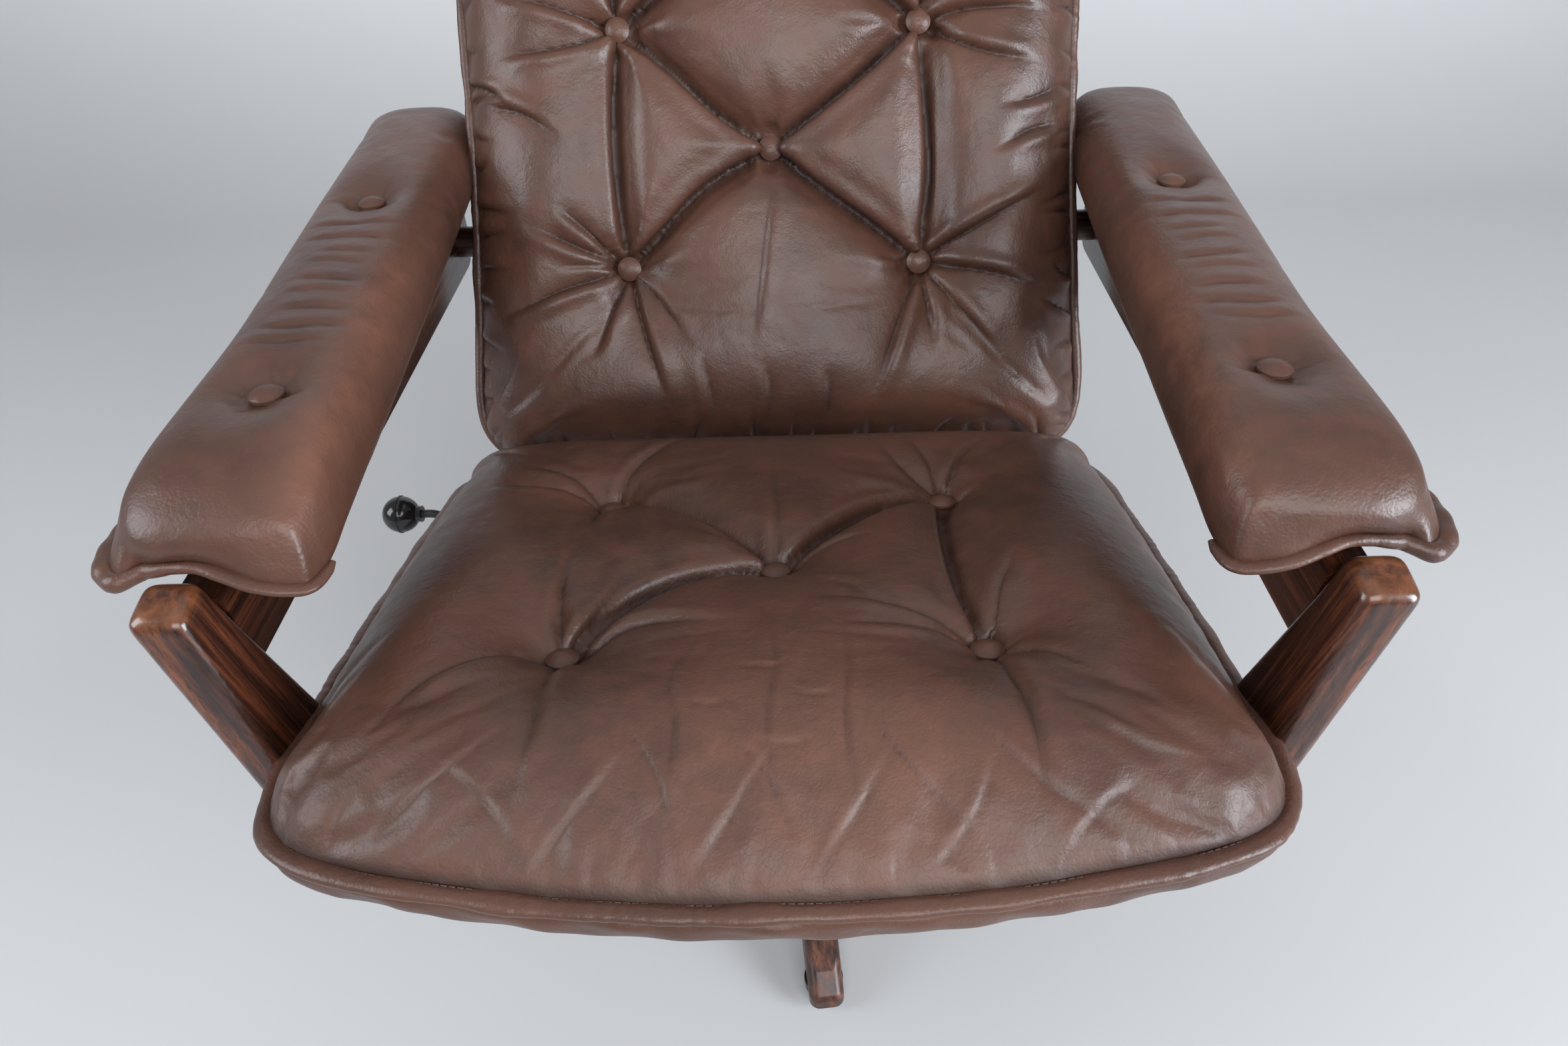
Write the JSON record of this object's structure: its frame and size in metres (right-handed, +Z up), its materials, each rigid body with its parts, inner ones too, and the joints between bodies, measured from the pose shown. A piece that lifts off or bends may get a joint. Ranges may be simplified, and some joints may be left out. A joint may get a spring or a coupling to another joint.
{
  "type": "swivel recliner",
  "caption": "Button-tufted leather swivel recliner: seat, back and padded arms tilt together on a sprung mechanism over a star base, held by a ball-knob lock lever.",
  "frame": {"origin": "on the floor, on the swivel axis, under the middle of the chair", "axes": "+Z up, the chair faces -Y, +X is the sitter's left"},
  "size_m": [0.7948, 0.9608, 0.924],
  "materials": {
    "leather": "mid-brown semi-gloss leather with fine grain",
    "button_leather": "leather-covered buttons",
    "stained_wood": "dark reddish stain under gloss lacquer",
    "frame_wood": "plain pale hardwood and plywood",
    "webbing": "woven elastic webbing",
    "black_steel": "black painted steel",
    "bright_steel": "plain bright steel",
    "nylon": "natural nylon",
    "black_plastic": "black moulded plastic"
  },
  "bodies": {
    "base": {"base_hub": "black_steel", "base_leg_1": "stained_wood", "base_leg_2": "stained_wood", "base_leg_3": "stained_wood", "base_leg_4": "stained_wood", "base_leg_5": "stained_wood", "base_glides": "black_plastic", "leg_bolts": "bright_steel", "upper_bush": "nylon", "lower_bush": "nylon"},
    "swivel": {"spindle": "bright_steel", "thrust_washer": "nylon", "retaining_clip": "bright_steel", "tilt_housing": "black_steel", "tilt_axle": "bright_steel", "axle_clips": "bright_steel", "lock_sector": "black_steel", "sector_screws": "bright_steel", "tilt_spring_left": "bright_steel", "tilt_spring_right": "bright_steel"},
    "seat": {"tilt_plate": "black_steel", "tilt_bushes": "nylon", "stop_pin": "bright_steel", "plate_screws": "bright_steel", "lever_pivot": "bright_steel", "seat_side_rail_left": "stained_wood", "seat_side_rail_right": "stained_wood", "seat_front_rail": "stained_wood", "seat_cross_rail": "frame_wood", "seat_rear_rail": "frame_wood", "seat_webbing": "webbing", "seat_cushion": "leather", "seat_buttons": "button_leather", "back_stile_left": "stained_wood", "back_stile_right": "stained_wood", "back_top_rail": "frame_wood", "back_bottom_rail": "frame_wood", "back_webbing": "webbing", "back_cushion": "leather", "back_buttons": "button_leather", "back_cover": "leather", "back_brackets": "black_steel", "bracket_screws": "bright_steel", "front_post_left": "stained_wood", "front_post_right": "stained_wood", "post_bolts": "bright_steel", "arm_rail_left": "stained_wood", "arm_rail_right": "stained_wood", "arm_board_left": "frame_wood", "arm_board_right": "frame_wood", "arm_pad_left": "leather", "arm_pad_right": "leather", "arm_buttons": "button_leather", "arm_spacers": "stained_wood", "arm_bolts": "bright_steel"},
    "lever": {"lock_lever": "bright_steel", "lever_knob": "black_plastic"}
  },
  "joints": [
    {"name": "swivel", "type": "hinge", "parent": "base", "child": "swivel", "pos_m": [0, 0, 0], "axis": [0, 0, 1], "continuous": true},
    {"name": "recline", "type": "hinge", "parent": "swivel", "child": "seat", "pos_m": [0, -0.06261, 0.21915], "axis": [-1, 0, 0], "range_deg": [0, 15], "stiffness_Nm_per_rad": 150, "springref_deg": -14.32, "deforming": ["tilt_spring_left", "tilt_spring_right"]},
    {"name": "lock_lever", "type": "hinge", "parent": "seat", "child": "lever", "pos_m": [-0.008, 0.03227, 0.19898], "axis": [0, 0.2079, 0.9781], "range_deg": [0, 11]}
  ]
}
